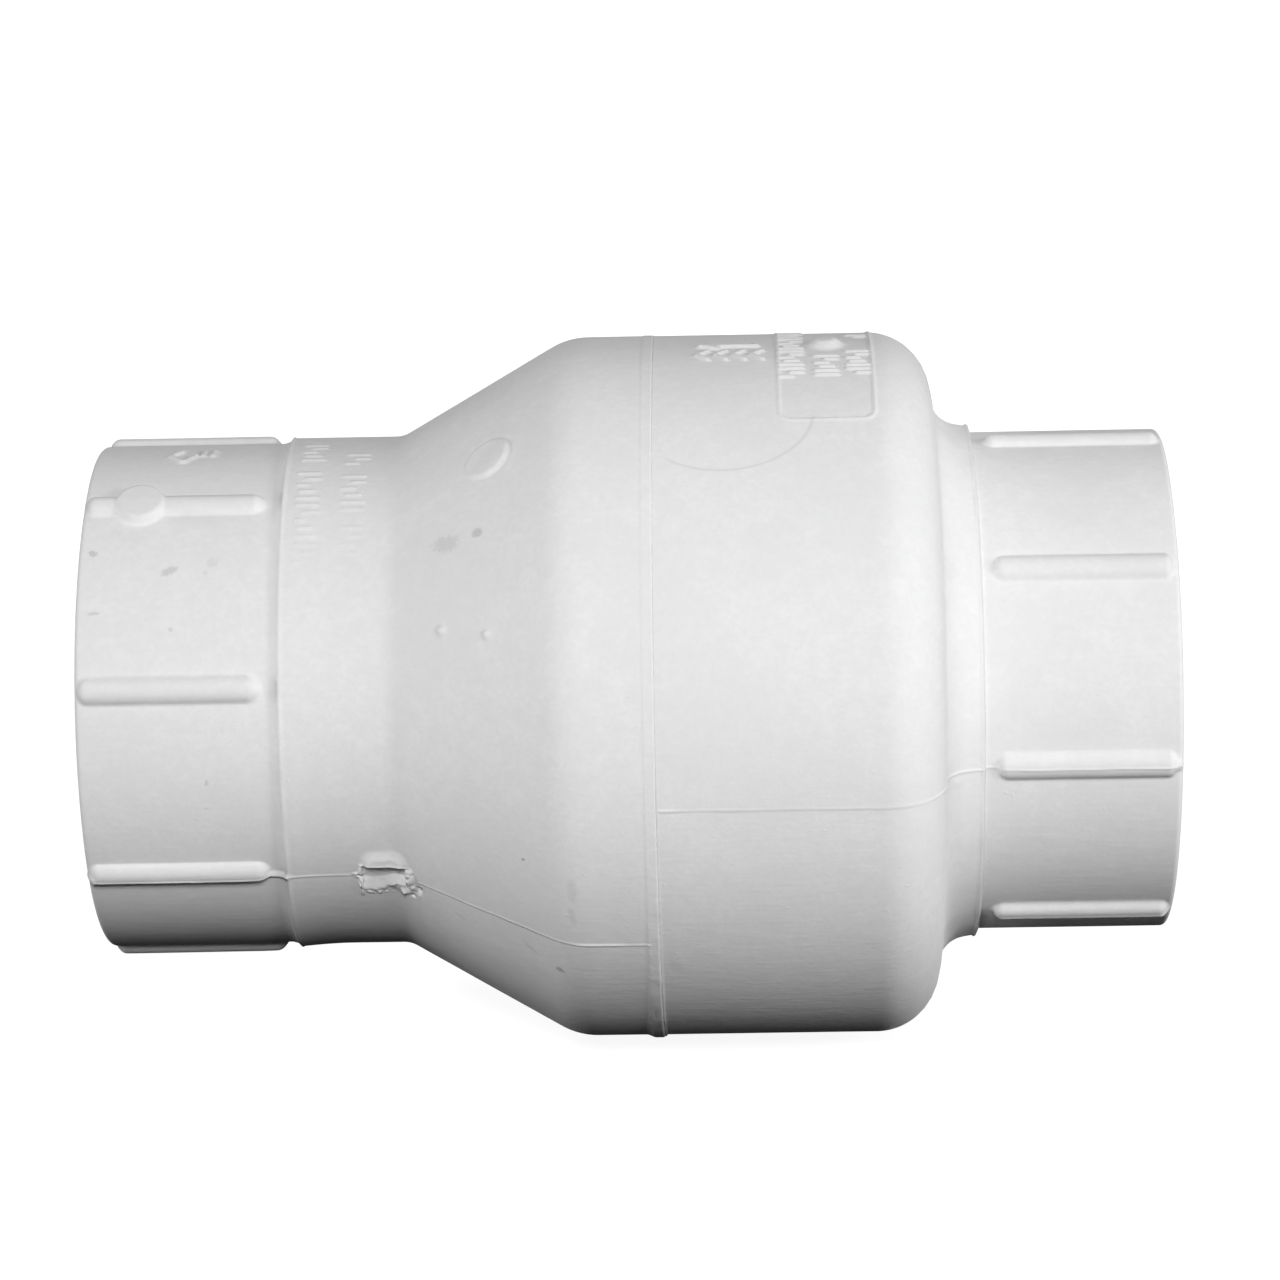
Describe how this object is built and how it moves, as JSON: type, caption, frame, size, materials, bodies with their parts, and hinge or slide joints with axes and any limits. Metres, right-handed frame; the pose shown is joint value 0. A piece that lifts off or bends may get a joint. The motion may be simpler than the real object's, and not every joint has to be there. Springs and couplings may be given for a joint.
{
  "type": "swing non-return valve",
  "caption": "White plastic in-line swing non-return valve with glued pipe sockets, a domed chamber and a hinged flapper that opens with the flow.",
  "frame": {"origin": "on the flow axis, midway between the two socket faces, which is the centre of the bounding box", "axes": "+X along the flow axis out of the inlet socket (flow runs towards -X), +Z towards the side that is up in a level pipe, where the flapper hinges, +Y to the rear"},
  "size_m": [0.216, 0.1446, 0.1446],
  "materials": {
    "pvc_body": "white injection-moulded rigid plastic, satin",
    "pvc_seat": "off-white injection-moulded rigid plastic, satin",
    "pvc_grey": "grey injection-moulded rigid plastic, satin",
    "acetal": "natural turned bearing plastic, smooth",
    "epdm": "black moulded rubber, matt",
    "stainless": "stainless steel, fine satin"
  },
  "bodies": {
    "housing": {"inlet_body": "pvc_body", "outlet_body": "pvc_body", "seat_ring": "pvc_seat", "seat_o_ring": "epdm", "seat_screws": "stainless", "hinge_pin": "stainless", "pin_washer_front": "stainless", "pin_washer_rear": "stainless", "pin_clip_front": "stainless", "pin_clip_rear": "stainless"},
    "flapper": {"flapper_arm": "pvc_grey", "arm_bush_front": "acetal", "arm_bush_rear": "acetal", "flapper_disc": "pvc_seat", "disc_seal": "epdm", "seal_retainer": "stainless", "clamp_bolt": "stainless", "bolt_seal": "epdm", "nut_washer": "stainless", "lock_nut": "stainless", "nut_insert": "acetal"}
  },
  "joints": [
    {"name": "flapper_swing", "type": "hinge", "parent": "housing", "child": "flapper", "pos_m": [0.03747, 0, 0.05388], "axis": [0, 1, 0], "range_deg": [0, 62]}
  ]
}
